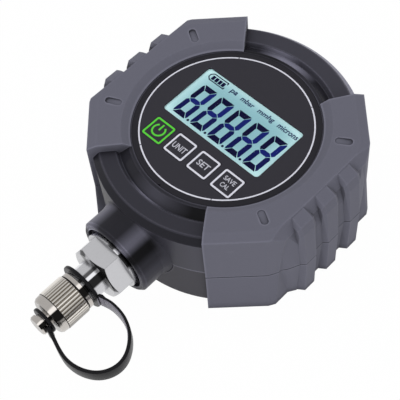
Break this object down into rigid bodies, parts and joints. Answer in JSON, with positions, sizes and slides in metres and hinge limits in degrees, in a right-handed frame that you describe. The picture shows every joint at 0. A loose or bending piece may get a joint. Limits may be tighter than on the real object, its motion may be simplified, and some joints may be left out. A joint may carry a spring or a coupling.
{
  "type": "digital vacuum gauge",
  "caption": "Round hand-held vacuum gauge with a digital display, touch keys, rubber side grips and a threaded test port under a tethered fluted cap.",
  "frame": {"origin": "centre of the flat rear face that the gauge lies on", "axes": "+Z out of the dial, +Y towards 12 o'clock of the dial, +X to the right as the dial is read; the port points to -Y"},
  "size_m": [0.1006, 0.1438, 0.0438],
  "materials": {
    "housing": "fine satin texture",
    "grip": "matt overmoulded rubber",
    "overlay": "satin printed film",
    "window": "clear insert",
    "key": "satin printed film",
    "inner_plastic": "moulded",
    "lcd": "lit cyan display cell",
    "light_guide": "white moulding",
    "board": "solder mask",
    "screw_steel": "zinc plated",
    "seal_rubber": "matt",
    "port_metal": "bright plated",
    "lead_skin": "coloured wire skin",
    "cell_skin": "wrapped cell",
    "contact_metal": "nickel plated",
    "cap_metal": "nickel plated brass",
    "tether_rubber": "smooth flexible rubber"
  },
  "bodies": {
    "instrument": {"front_housing": "housing", "rear_housing": "housing", "front_left_grip": "grip", "front_right_grip": "grip", "rear_left_grip": "grip", "rear_right_grip": "grip", "dial_overlay": "overlay", "display_window": "window", "tact_switches": "inner_plastic", "lcd_glass": "lcd", "lcd_backlight": "light_guide", "lcd_holder": "light_guide", "main_board": "board", "board_parts": "inner_plastic", "board_screws": "screw_steel", "housing_seal": "seal_rubber", "housing_screws": "screw_steel", "port_fitting": "port_metal", "port_gasket": "seal_rubber", "lock_nut": "port_metal", "pressure_sensor": "port_metal", "sensor_seal": "seal_rubber", "sensor_leads": "lead_skin", "battery_cells": "cell_skin", "battery_contacts": "contact_metal", "battery_leads": "lead_skin", "tether_neck_ring": "tether_rubber", "tether_band": "tether_rubber"},
    "power_key": {"power_key": "key"},
    "unit_key": {"unit_key": "key"},
    "set_key": {"set_key": "key"},
    "save_key": {"save_key": "key"},
    "battery_door": {"battery_door": "housing", "door_screw": "screw_steel"},
    "cap_carrier": {"tether_cap_ring": "tether_rubber"},
    "cap": {"protective_cap": "cap_metal", "cap_seal": "seal_rubber"}
  },
  "joints": [
    {"name": "power_press", "type": "slide", "parent": "instrument", "child": "power_key", "axis": [0, 0, -1], "range_m": [0, 0.0004], "stiffness_N_per_m": 400},
    {"name": "unit_press", "type": "slide", "parent": "instrument", "child": "unit_key", "axis": [0, 0, -1], "range_m": [0, 0.0004], "stiffness_N_per_m": 400},
    {"name": "set_press", "type": "slide", "parent": "instrument", "child": "set_key", "axis": [0, 0, -1], "range_m": [0, 0.0004], "stiffness_N_per_m": 400},
    {"name": "save_press", "type": "slide", "parent": "instrument", "child": "save_key", "axis": [0, 0, -1], "range_m": [0, 0.0004], "stiffness_N_per_m": 400},
    {"name": "door_hinge", "type": "hinge", "parent": "instrument", "child": "battery_door", "pos_m": [0, 0.03225, 0.00095], "axis": [1, 0, 0], "range_deg": [0, 90]},
    {"name": "cap_travel", "type": "slide", "parent": "instrument", "child": "cap_carrier", "axis": [0, -1, 0], "range_m": [0, 0.00762], "deforming": ["tether_band"]},
    {"name": "cap_turn", "type": "hinge", "parent": "cap_carrier", "child": "cap", "pos_m": [0, -0.08, 0.0217], "axis": [0, -1, 0], "range_deg": [0, 2160]}
  ],
  "couplings": [
    {"joint": "cap_travel", "follows": "cap_turn", "m_per_rad": 0.00020213}
  ]
}
